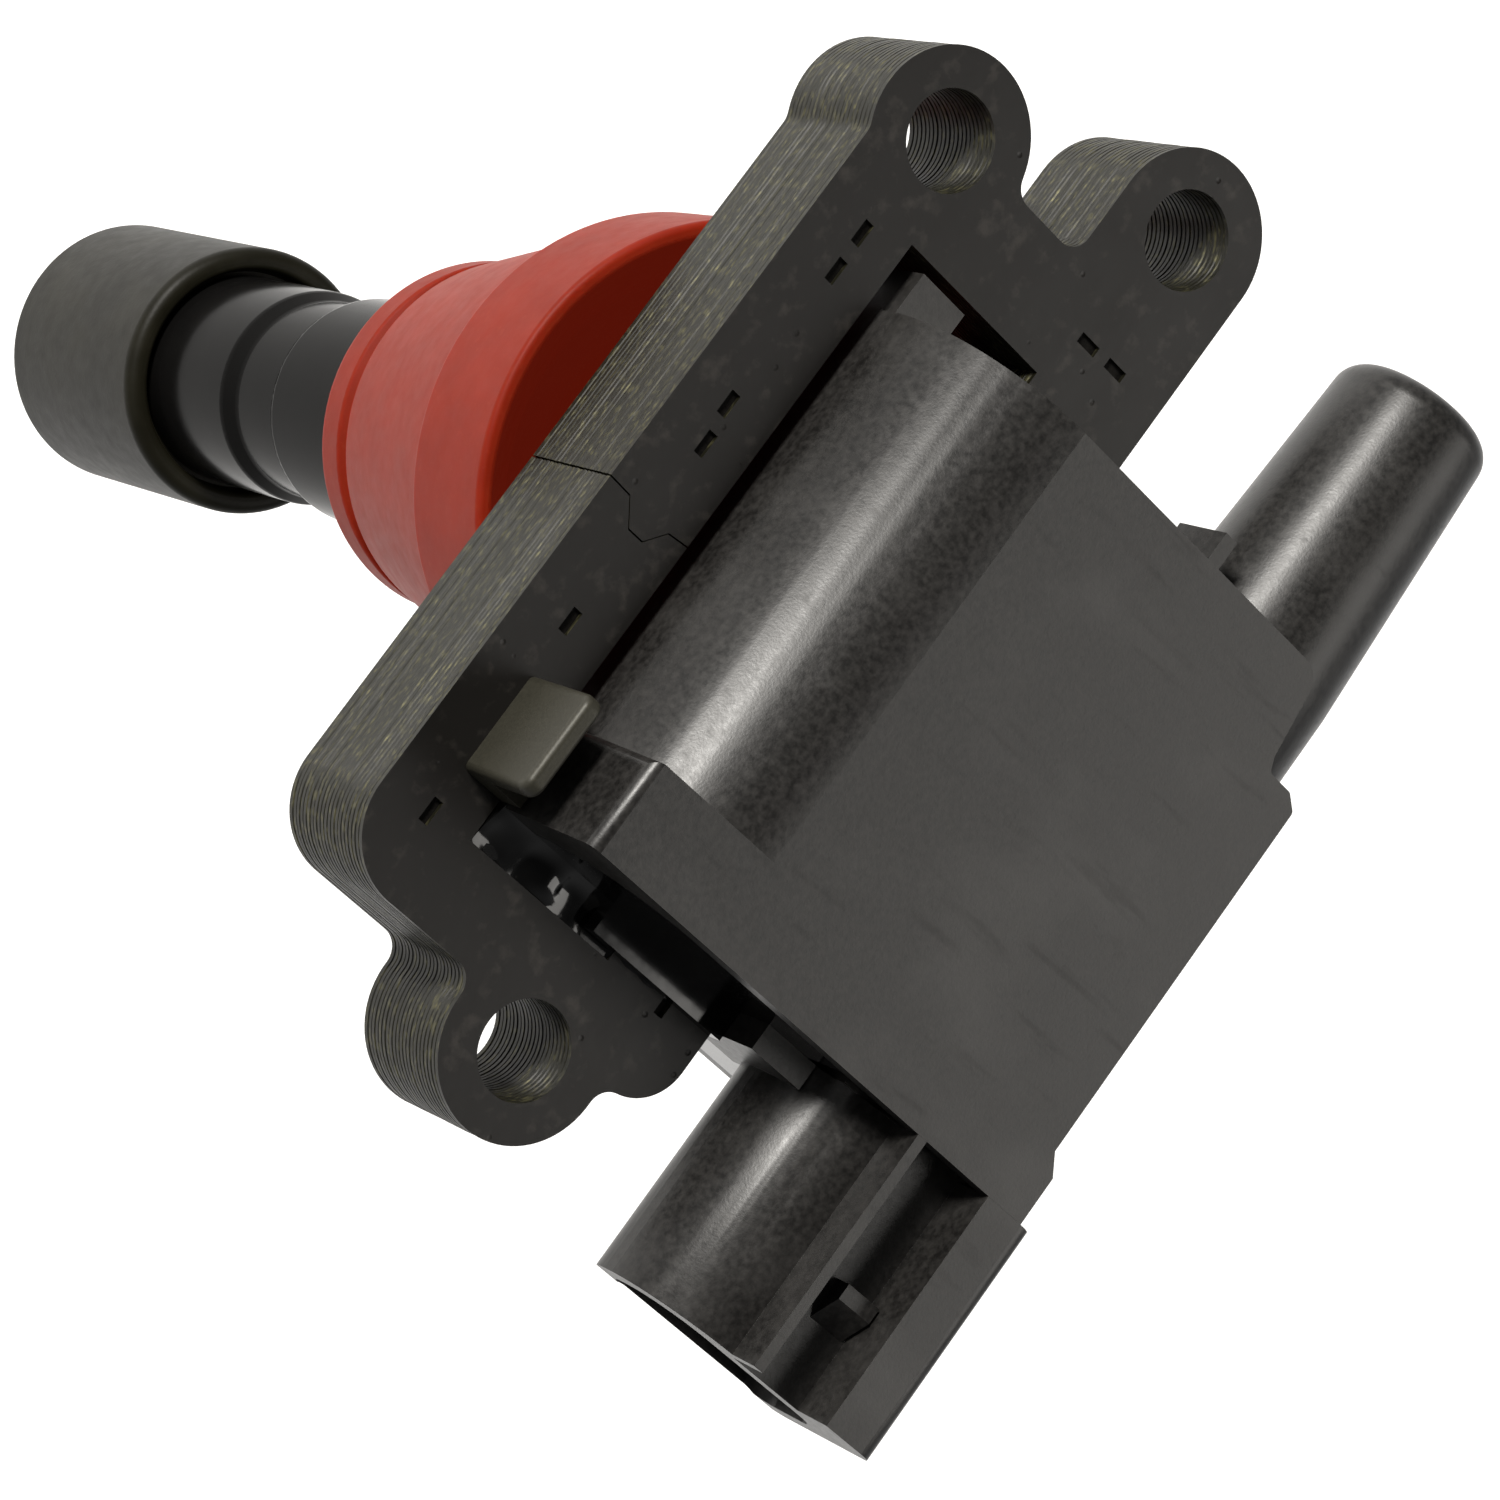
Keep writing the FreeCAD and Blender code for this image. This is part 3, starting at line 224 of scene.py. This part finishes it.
def epoxy():
    """Cast resin with a wet, uneven skin and a little dust."""
    f = Finish("epoxy", Specular_IOR_Level=0.45)
    speck = f.span(f.cells(0.9), 1, 0, 0.0, 0.12)
    f.colour(f.blend(f.span(speck, 0, 0.4), grey(0.002), grey(0.03, 0.1)))
    f.rough(f.span(f.noise(1.8, 3.0), 0.05, 0.14))
    f.bump(f.noise(3.2, 2.0), 0.02, 0.5)
    return f.material


def boot_rubber():
    """Moulded rubber with a brown-green cast and a dry bloom in patches."""
    f = Finish("boot_rubber", Specular_IOR_Level=0.10)
    bloom = f.span(f.noise(7.0, 5.0), 0, 1, 0.45, 0.75)
    f.colour(f.blend(bloom, (0.0046, 0.0042, 0.0022, 1), (0.0095, 0.0088, 0.0054, 1)))
    f.rough(f.span(f.noise(1.5, 4.0), 0.38, 0.55))
    f.bump(f.noise(0.35, 4.0), 0.012, 0.8)
    f.bump(f.noise(3.0, 2.0), 0.03, 0.4)
    return f.material


def seal_silicone():
    """Matte red silicone, dusty. Its faint emission stands for light that comes through to shaded sides."""
    f = Finish(
        "seal_silicone",
        Specular_IOR_Level=0.08,
        Emission_Color=(1.0, 0.06, 0.02, 1),
        Emission_Strength=0.085,
        Subsurface_Weight=0.6,
        Subsurface_Radius=(1.0, 0.15, 0.06),
        Subsurface_Scale=2.5 * MM,
    )
    cloud = f.noise(4.0, 5.0)
    base = f.blend(f.span(cloud, 0, 1, 0.3, 0.7), (0.080, 0.0056, 0.0013, 1), (0.102, 0.0078, 0.0022, 1))
    dust = f.span(f.noise(0.6, 4.0), 0, 0.3, 0.58, 0.78)
    f.colour(f.blend(dust, base, (0.15, 0.026, 0.011, 1)))
    f.rough(f.span(f.noise(1.4, 4.0), 0.42, 0.6))
    f.bump(f.noise(0.5, 4.0), 0.010, 0.8)
    return f.material


def metal(name, dark, light, low, high, grain, stretch, depth):
    """Bare metal with tool marks: grain in millimetres, drawn out along an axis by stretch."""
    f = Finish(name, Metallic=1.0)
    mark = f.noise(grain, 4.0, stretch)
    f.colour(f.blend(mark, dark, light))
    f.rough(f.span(mark, low, high))
    f.bump(mark, depth)
    return f.material


def painted_clip():
    """Grey-olive phosphate on the clip's flat, fine as sandblast."""
    f = Finish("clip_finish", Specular_IOR_Level=0.3)
    grain = f.noise(0.22, 4.0)
    f.plug(f.shader.inputs["Metallic"], f.span(grain, 0.1, 0.35))
    f.colour(f.blend(grain, (0.009, 0.0085, 0.0055, 1), (0.034, 0.032, 0.023, 1)))
    f.rough(f.span(f.noise(1.5, 3.0), 0.42, 0.55))
    f.bump(grain, 0.012)
    return f.material


def wound_wire(name, pitch):
    """Enamelled copper laid in close turns along X."""
    f = Finish(name, Metallic=0.85, Coat_Weight=0.5, Coat_Roughness=0.12)
    turn = f.waves(pitch, "X", 0.3)
    # The colour darkens with the bump into the grooves between turns: painted shade between the turns.
    f.colour(f.blend(turn, (0.20, 0.055, 0.018, 1), (0.62, 0.25, 0.10, 1)))
    f.rough(f.span(f.noise(1.0), 0.25, 0.4))
    f.bump(turn, pitch / 2)
    return f.material


def plain_moulding(name, dark, light, low, high, grain):
    """Moulded or fired part: a clouded colour and a fine grain."""
    f = Finish(name, Specular_IOR_Level=0.45)
    f.colour(f.blend(f.noise(5.0, 4.0), dark, light))
    f.rough(f.span(f.noise(1.6, 3.0), low, high))
    f.bump(f.noise(grain, 3.0), 0.015)
    return f.material


def solder_mask():
    """Green board with raised tracks."""
    f = Finish("board", Specular_IOR_Level=0.5, Coat_Weight=0.3, Coat_Roughness=0.15)
    track = f.span(f.waves(1.6, "X", 1.5, 2.0), 0, 1, 0.55, 0.65)
    f.colour(f.blend(track, (0.010, 0.060, 0.022, 1), (0.020, 0.120, 0.045, 1)))
    f.rough(f.span(f.noise(1.0), 0.25, 0.4))
    f.bump(track, 0.04)
    return f.material


def all_finishes():
    return {
        "core_paint": core_paint(),
        "core_edge": core_edge(),
        "stamp_painted_shade": stamp_painted_shade(),
        "clip_finish": painted_clip(),
        "case_plastic": case_plastic(),
        "gloss_plastic": gloss_plastic(),
        "epoxy": epoxy(),
        "boot_rubber": boot_rubber(),
        "seal_silicone": seal_silicone(),
        "bobbin_plastic": plain_moulding(
            "bobbin_plastic", grey(0.45, 0.1), grey(0.6, 0.08), 0.4, 0.55, 0.5
        ),
        "ceramic": plain_moulding("ceramic", grey(0.60, 0.05), grey(0.75, 0.04), 0.25, 0.45, 0.3),
        "chip": plain_moulding("chip", grey(0.012), grey(0.022), 0.4, 0.55, 0.2),
        "magnet": plain_moulding("magnet", grey(0.05), grey(0.09), 0.35, 0.5, 0.2),
        "board": solder_mask(),
        "copper": wound_wire("copper", 0.6),
        "brass": metal(
            "brass", (0.42, 0.25, 0.07, 1), (0.72, 0.50, 0.20, 1), 0.2, 0.38, 0.5, (1, 1, 5), 0.008
        ),
        "tinned": metal("tinned", grey(0.45), grey(0.68), 0.22, 0.4, 0.5, (0.2, 2, 2), 0.006),
        "spring_steel": metal("spring_steel", grey(0.30), grey(0.55), 0.2, 0.35, 0.3, (1, 1, 1), 0.006),
        "aluminium": metal("aluminium", grey(0.55), grey(0.72), 0.3, 0.45, 0.5, (0.1, 2, 2), 0.006),
    }


# ---- meshes ---------------------------------------------------------------------------------------------
def smooth(thing, degrees=32):
    """Smooth shading that stays sharp across edges steeper than this."""
    thing.data.shade_smooth()
    thing.data.set_sharp_from_angle(angle=math.radians(degrees))


def soften(node, width, degrees=32):
    """Weld a CAD node and round its sharp edges a little, with modifiers only."""
    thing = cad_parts[node]
    weld = thing.modifiers.new("weld", "WELD")
    weld.merge_threshold = WELD
    bevel = thing.modifiers.new("edge_round", "BEVEL")
    bevel.width = width * MM
    bevel.segments = 3
    bevel.limit_method = "ANGLE"
    bevel.angle_limit = math.radians(degrees)
    bevel.harden_normals = True


def new_piece(name, bm, finishes):
    """A mesh piece of the coil, from a bmesh."""
    mesh = bpy.data.meshes.new(name)
    bm.to_mesh(mesh)
    bm.free()
    piece = bpy.data.objects.new(name, mesh)
    bpy.context.scene.collection.objects.link(piece)
    if "custom_normal" in mesh.attributes:
        mesh.attributes.remove(mesh.attributes["custom_normal"])
    for finish in finishes:
        mesh.materials.append(finish)
    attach(piece, COIL)
    return piece


# ---- laminated core -------------------------------------------------------------------------------------
# GROOVE is a groove's depth and half its width. FLAT and SLOPED are the z of a normal.
SHEET = 0.5
GROOVE = 0.09
EDGE_SLIP = 0.035
STAMP_FLOOR = (0.1, 0.6)
FLAT = 0.85
SLOPED = 0.3


def laminated(node, finishes, seed):
    """A CAD half of the core with its walls cut into sheets, grooved between them, with uneven edges."""
    low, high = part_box(node)
    bm = bmesh.new()
    bm.from_mesh(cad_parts[node].data)
    bmesh.ops.remove_doubles(bm, verts=bm.verts, dist=WELD)
    sheets = round((high.z - low.z) / (SHEET * MM))
    pitch = (high.z - low.z) / sheets
    half = GROOVE * MM
    end_margin = 1e-3
    for joint in range(1, sheets):
        for level in (-half, 0.0, half):
            geom = bm.verts[:] + bm.edges[:] + bm.faces[:]
            cut = Vector((0, 0, low.z + joint * pitch + level))
            bmesh.ops.bisect_plane(bm, geom=geom, dist=1e-7, plane_co=cut, plane_no=(0, 0, 1))
    bm.normal_update()
    rng = random.Random(seed)
    slip = [rng.uniform(0.0, EDGE_SLIP) * MM for _ in range(sheets)]
    moves = []
    for vert in bm.verts:
        height = (vert.co.z - low.z) / pitch
        at_an_end = height < end_margin or height > sheets - end_margin
        if at_an_end or abs(vert.normal.z) > SLOPED:
            continue
        joint = round(height)
        if abs(height - joint) * pitch < half / 2:
            depth = half
        else:
            depth = slip[min(sheets - 1, int(height))]
        moves.append((vert, vert.normal * -depth))
    for vert, move in moves:
        vert.co += move
    bm.normal_update()
    # Stamp floors get a near-black finish: painted shade in the recesses, darker than the paint around them.
    stamp_high, stamp_low = [high.z - depth * MM for depth in STAMP_FLOOR]
    for face in bm.faces:
        face.material_index = 0 if abs(face.normal.z) > FLAT else 1
        if face.normal.z > FLAT and stamp_low < face.calc_center_median().z < stamp_high:
            face.material_index = 2
        face.smooth = False
    by_face = [finishes[name] for name in ("core_paint", "core_edge", "stamp_painted_shade")]
    piece = new_piece(node + "_sheets", bm, by_face)
    smooth(piece, 28)
    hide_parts(node)


# ---- spring ---------------------------------------------------------------------------------------------
TURNS = 9.0
CLOSED_TURNS = 1.2
WIRE_RADIUS = 0.35


def join_rings(bm, rings):
    """Skin a row of vertex rings into one closed body."""
    count = len(rings[0])
    for first, second in zip(rings, rings[1:]):
        for part in range(count):
            after = (part + 1) % count
            bm.faces.new((first[part], first[after], second[after], second[part]))
    bm.faces.new(rings[0])
    bm.faces.new(rings[-1][::-1])
    bmesh.ops.recalc_face_normals(bm, faces=bm.faces)


def contact_spring(finishes):
    """Coil spring with closed end turns, sized to the CAD spring's box."""
    low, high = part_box("contact_spring")
    wire = WIRE_RADIUS * MM
    radius = (high.x - low.x) / 2 - wire
    bottom, top = low.z + wire, high.z - wire
    around, across = 28, 12
    steps = round(TURNS * around)
    closed = CLOSED_TURNS / TURNS
    turn_height = 2 * wire * TURNS
    bm = bmesh.new()
    rings = []
    for step in range(steps + 1):
        share = step / steps
        rise = min(max((share - closed) / (1 - 2 * closed), 0.0), 1.0)
        end_turn = min(share, closed) + max(share - (1 - closed), 0.0)
        height = bottom + turn_height * end_turn + rise * (top - bottom - turn_height * 2 * closed)
        angle = math.tau * TURNS * share
        out = Vector((math.cos(angle), math.sin(angle), 0))
        centre = out * radius + Vector((0, 0, height))
        ring = []
        for part in range(across):
            turn = math.tau * part / across
            rim = out * wire * math.cos(turn) + Vector((0, 0, wire * math.sin(turn)))
            ring.append(bm.verts.new(centre + rim))
        rings.append(ring)
    join_rings(bm, rings)
    piece = new_piece("contact_spring_coil", bm, [finishes["spring_steel"]])
    smooth(piece, 50)
    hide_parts("contact_spring")
    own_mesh(piece)


# ---- potting --------------------------------------------------------------------------------------------
BEAD_WIDTH = 3.5
BEAD_PAST_WINDOW = 15.0
WINDOW_FROM_OUTER_EDGE = (7.8, 21.2)
WAVE_ALONG = 3.4
RIPPLE_ALONG = 2.2
RISE, RISE_LOSS = 1.1, 0.4
SWELL, SWELL_LOSS = 3.6, 2.4
SINK_IN_WINDOW, SINK_PAST = 0.25, 0.06
DEPTH_IN_WINDOW, DEPTH_PAST = 2.0, 0.3
RIPPLE = 0.8


def epoxy_bead(finishes):
    """Lumpy resin in the joint between the case's back and the core: wide in the window, thin past it."""
    case_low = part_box("coil_case")[0]
    plate_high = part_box("core_lower")[1]
    wall = case_low.x + 0.25 * MM
    window_left, window_right = [plate_high.y - across * MM for across in WINDOW_FROM_OUTER_EDGE]
    stop = window_right - BEAD_PAST_WINDOW * MM
    steps, parts = 150, 12
    bm = bmesh.new()
    rings = []
    for step in range(steps + 1):
        y = window_left + (stop - window_left) * step / steps
        past = min(max((window_right - y) / (3 * MM), 0.0), 1.0)
        thin = min(max((window_right - y) / (BEAD_PAST_WINDOW * MM), 0.0), 1.0)
        lump = noise.noise(Vector((0, y / (WAVE_ALONG * MM), 4.2)))
        reach = BEAD_WIDTH * MM * (1 - 0.62 * thin) * (1 + 0.15 * past * lump)
        rise = (RISE - RISE_LOSS * thin) * MM
        swell = (SWELL - SWELL_LOSS * past) * lump * MM
        edge = plate_high.z - (SINK_PAST * past + SINK_IN_WINDOW * (1 - past)) * MM
        base = plate_high.z - (DEPTH_PAST * past + DEPTH_IN_WINDOW * (1 - past)) * MM
        ring = []
        for part in range(parts + 1):
            share = part / parts
            curve = (1 - share) ** 2.4
            ripple = RIPPLE * MM * noise.noise(Vector((share * 2.0, y / (RIPPLE_ALONG * MM), 9.0)))
            height = edge + rise * curve + (swell + ripple) * share * (1 - share)
            ring.append(bm.verts.new((wall - reach * share, y, height)))
        ring.append(bm.verts.new((wall - reach, y, base)))
        ring.append(bm.verts.new((wall, y, base)))
        rings.append(ring)
    join_rings(bm, rings)
    smooth(new_piece("epoxy_bead", bm, [finishes["epoxy"]]), 60)


# ---- stage ----------------------------------------------------------------------------------------------
CAMERA_PLACE = (-79.42, 161.95, 397.7)
CAMERA_BACK = (-0.1924, 0.4986, 0.8452)
CAMERA_RIGHT = (0.579, -0.6377, 0.508)
LENS, SENSOR = 121.96, 36.0
WARM_WHITE = (1.0, 0.97, 0.92)
LIGHT_DISTANCE = 0.9
FLOOR_DROP = 0.12
FLOOR_HALF = 3.0
# height of the sky's direction, brightness there
SKY_LOW, SKY_HIGH = (0.35, 0.32), (0.95, 0.05)
# name, direction from the coil, width and height in metres, radiance
SOFTBOXES = (
    ("key", (0.25, 0.80, 0.54), (0.22, 0.16), 160.0),
    ("front", (-0.50, 0.60, 0.62), (0.5, 0.5), 0.6),
    ("fill", (0.20, -0.66, 0.72), (0.6, 0.45), 3.6),
)


def add_camera():
    """Camera above the connector's side, looking down on the core."""
    place = Vector(CAMERA_PLACE) * MM
    back = Vector(CAMERA_BACK).normalized()
    right = Vector(CAMERA_RIGHT)
    right = (right - back * right.dot(back)).normalized()
    up = back.cross(right)
    turn = Matrix((right, up, back)).transposed().to_4x4()
    data = bpy.data.cameras.new("camera")
    data.lens = LENS
    data.sensor_width = SENSOR
    data.clip_start = 0.02
    data.clip_end = 20.0
    camera = bpy.data.objects.new("camera", data)
    camera.matrix_world = Matrix.Translation(place) @ turn
    bpy.context.scene.collection.objects.link(camera)
    bpy.context.scene.camera = camera


def add_softbox(name, towards, size, radiance, target):
    """A softbox seen from the target along towards, with the given brightness."""
    direction = Vector(towards).normalized()
    data = bpy.data.lights.new(name, "AREA")
    data.shape = "RECTANGLE"
    data.size, data.size_y = size
    data.energy = radiance * math.pi * size[0] * size[1]
    data.color = WARM_WHITE
    light = bpy.data.objects.new(name, data)
    light.location = target + direction * LIGHT_DISTANCE
    light.rotation_mode = "QUATERNION"
    light.rotation_quaternion = direction.to_track_quat("Z", "Y")
    bpy.context.scene.collection.objects.link(light)


def add_floor(target):
    """Plain pale floor well below the coil, which hangs by its core."""
    f = Finish("floor", Specular_IOR_Level=0.2, Emission_Strength=0.45, Emission_Color=(1, 1, 1, 1))
    f.colour(f.blend(f.noise(60.0), grey(0.70), grey(0.73)))
    f.rough(f.span(f.noise(8.0), 0.75, 0.85))
    f.bump(f.noise(2.0), 0.01)
    level = cad_box[0].z - FLOOR_DROP
    mesh = bpy.data.meshes.new("floor")
    signs = ((-1, -1), (1, -1), (1, 1), (-1, 1))
    corners = [(target.x + x * FLOOR_HALF, target.y + y * FLOOR_HALF, level) for x, y in signs]
    mesh.from_pydata(corners, [], [(0, 1, 2, 3)])
    mesh.materials.append(f.material)
    floor = bpy.data.objects.new("floor", mesh)
    bpy.context.scene.collection.objects.link(floor)


def add_world():
    """Even white room that darkens overhead."""
    world = bpy.data.worlds.new("studio")
    world.use_nodes = True
    nodes, links = world.node_tree.nodes, world.node_tree.links
    where = nodes.new("ShaderNodeTexCoord")
    split = nodes.new("ShaderNodeSeparateXYZ")
    fade = nodes.new("ShaderNodeMapRange")
    fade.inputs["From Min"].default_value, fade.inputs["To Min"].default_value = SKY_LOW
    fade.inputs["From Max"].default_value, fade.inputs["To Max"].default_value = SKY_HIGH
    links.new(where.outputs["Generated"], split.inputs[0])
    links.new(split.outputs["Z"], fade.inputs["Value"])
    links.new(fade.outputs["Result"], nodes["Background"].inputs["Strength"])
    nodes["Background"].inputs["Color"].default_value = (1, 1, 1, 1)
    bpy.context.scene.world = world


def add_stage():
    bpy.context.scene.view_settings.view_transform = "Standard"
    target = (cad_box[0] + cad_box[1]) / 2
    add_camera()
    add_world()
    add_floor(target)
    for name, towards, size, radiance in SOFTBOXES:
        add_softbox(name, towards, size, radiance, target)


# ---- the coil -------------------------------------------------------------------------------------------
NODE_FINISH = {
    "plug_boot": "boot_rubber",
    "stem_tube": "gloss_plastic",
    "plug_contact": "brass",
    "contact_spring": "spring_steel",
    "suppressor_resistor": "ceramic",
    "stem_terminal": "brass",
    "well_seal": "seal_silicone",
    "core_upper": "core_paint",
    "core_lower": "core_paint",
    "core_magnet": "magnet",
    "core_clip": "clip_finish",
    "primary_bobbin": "bobbin_plastic",
    "primary_winding": "copper",
    "secondary_bobbin": "bobbin_plastic",
    "secondary_winding": "copper",
    "coil_case": "case_plastic",
    "hv_tower": "case_plastic",
    "connector_shell": "case_plastic",
    "connector_pins": "tinned",
    "heat_sink": "aluminium",
    "igniter_board": "board",
    "igniter_chip": "chip",
    "primary_leads": "copper",
    "tower_terminal": "brass",
    "hv_diode": "chip",
    "potting_epoxy": "epoxy",
}

finishes = all_finishes()
for name, finish in NODE_FINISH.items():
    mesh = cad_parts[name].data
    mesh.materials.clear()
    mesh.materials.append(finishes[finish])
add_stage()
contact_spring(finishes)
laminated("core_upper", finishes, 3)
laminated("core_lower", finishes, 8)
epoxy_bead(finishes)
for name, width in (("coil_case", 0.25), ("hv_tower", 0.1), ("connector_shell", 0.2), ("core_clip", 0.12)):
    soften(name, width)
